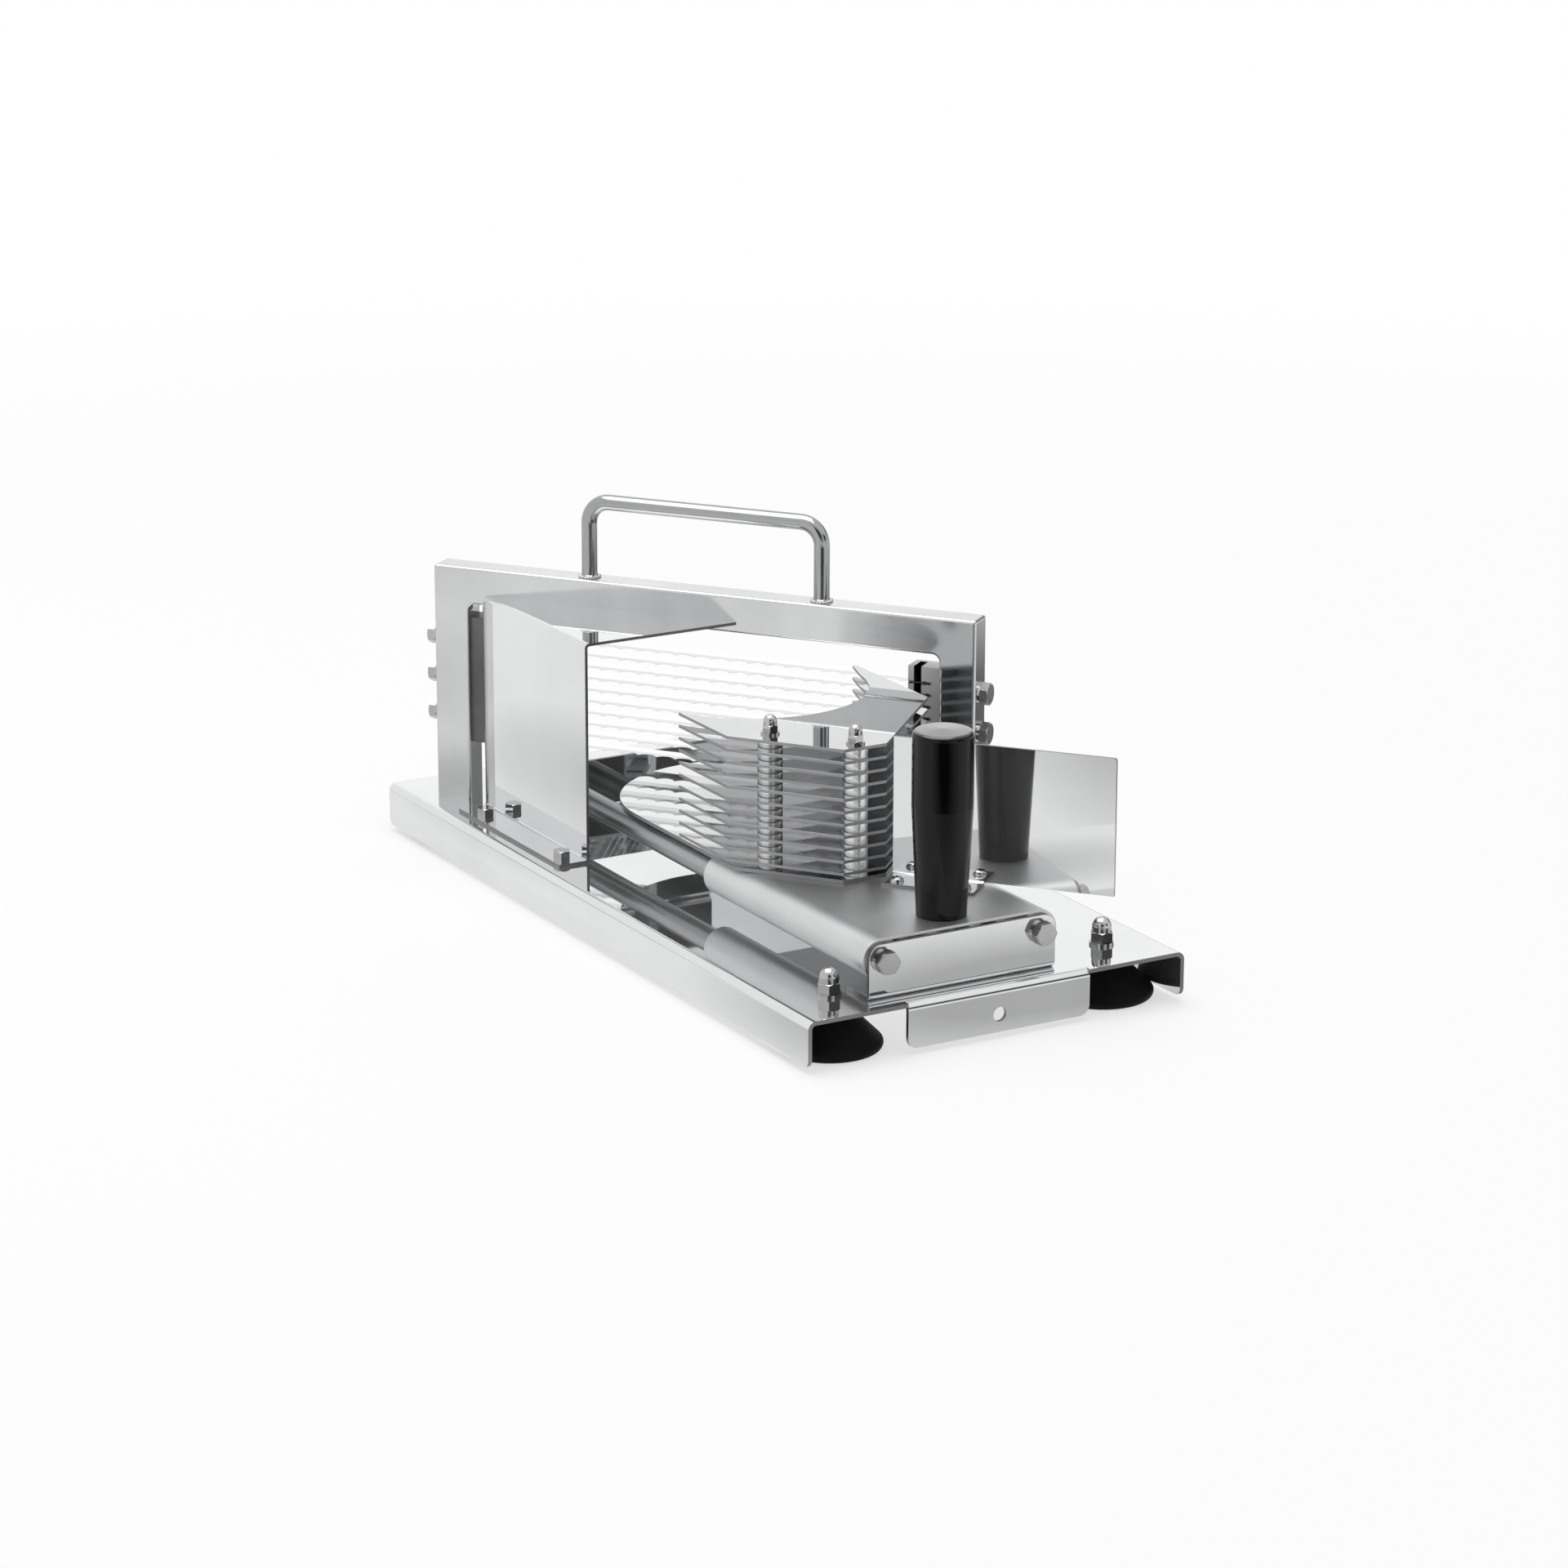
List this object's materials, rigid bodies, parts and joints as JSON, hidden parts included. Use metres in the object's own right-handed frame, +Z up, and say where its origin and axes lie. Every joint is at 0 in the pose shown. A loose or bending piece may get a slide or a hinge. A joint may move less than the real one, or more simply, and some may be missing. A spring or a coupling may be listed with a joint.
{
  "type": "tomato slicer",
  "caption": "Bench tomato slicer: a sliding pusher of stacked steel plates on guide rods carries a tomato through a slanted frame of scalloped blades on a base with suction feet.",
  "frame": {"origin": "middle of the base in plan, on the surface that the feet stand on", "axes": "+X across the base to the right as seen from the grip, +Y rearwards along the cutting stroke, +Z up"},
  "size_m": [0.203, 0.43, 0.1928],
  "materials": {
    "polished_steel": "mirror polished stainless",
    "satin_steel": "satin blasted stainless",
    "ground_steel": "ground stainless",
    "bright_fasteners": "bright stainless",
    "rubber": "matte black",
    "black_plastic": "glossy black",
    "nylon": "natural nylon"
  },
  "bodies": {
    "base": {"base_plate": "polished_steel", "foot_front_left": "rubber", "foot_front_right": "rubber", "foot_rear_left": "rubber", "foot_rear_right": "rubber", "foot_studs": "ground_steel", "foot_cap_nuts": "bright_fasteners", "foot_washers": "bright_fasteners", "front_bracket": "polished_steel", "rear_bracket": "polished_steel", "left_rod": "ground_steel", "right_rod": "ground_steel", "rod_bolts": "bright_fasteners", "rod_washers": "bright_fasteners", "side_guard": "polished_steel", "side_guard_bolts": "bright_fasteners", "side_guard_nuts": "bright_fasteners", "left_post": "polished_steel", "right_post": "polished_steel", "top_beam": "polished_steel", "carry_handle": "polished_steel", "left_blade_holder": "ground_steel", "right_blade_holder": "ground_steel", "blade_01": "polished_steel", "blade_02": "polished_steel", "blade_03": "polished_steel", "blade_04": "polished_steel", "blade_05": "polished_steel", "blade_06": "polished_steel", "blade_07": "polished_steel", "blade_08": "polished_steel", "blade_09": "polished_steel", "blade_10": "polished_steel", "blade_pins": "bright_fasteners", "tension_bolts": "bright_fasteners", "tension_washers": "bright_fasteners"},
    "carriage": {"carriage": "satin_steel", "carriage_bushes": "nylon", "grip": "black_plastic", "grip_stud": "ground_steel", "grip_nut": "bright_fasteners", "bed_plate": "polished_steel", "pusher_plate_01": "polished_steel", "pusher_plate_02": "polished_steel", "pusher_plate_03": "polished_steel", "pusher_plate_04": "polished_steel", "pusher_plate_05": "polished_steel", "pusher_plate_06": "polished_steel", "pusher_plate_07": "polished_steel", "pusher_plate_08": "polished_steel", "pusher_plate_09": "polished_steel", "pusher_plate_10": "polished_steel", "pusher_plate_11": "polished_steel", "stack_studs": "ground_steel", "stack_spacers": "satin_steel", "stack_cap_nuts": "bright_fasteners", "stack_washers": "bright_fasteners", "hand_guard": "polished_steel", "hand_guard_screws": "bright_fasteners"}
  },
  "joints": [
    {"name": "carriage_slide", "type": "slide", "parent": "base", "child": "carriage", "axis": [0, 1, 0], "range_m": [0, 0.165]}
  ]
}
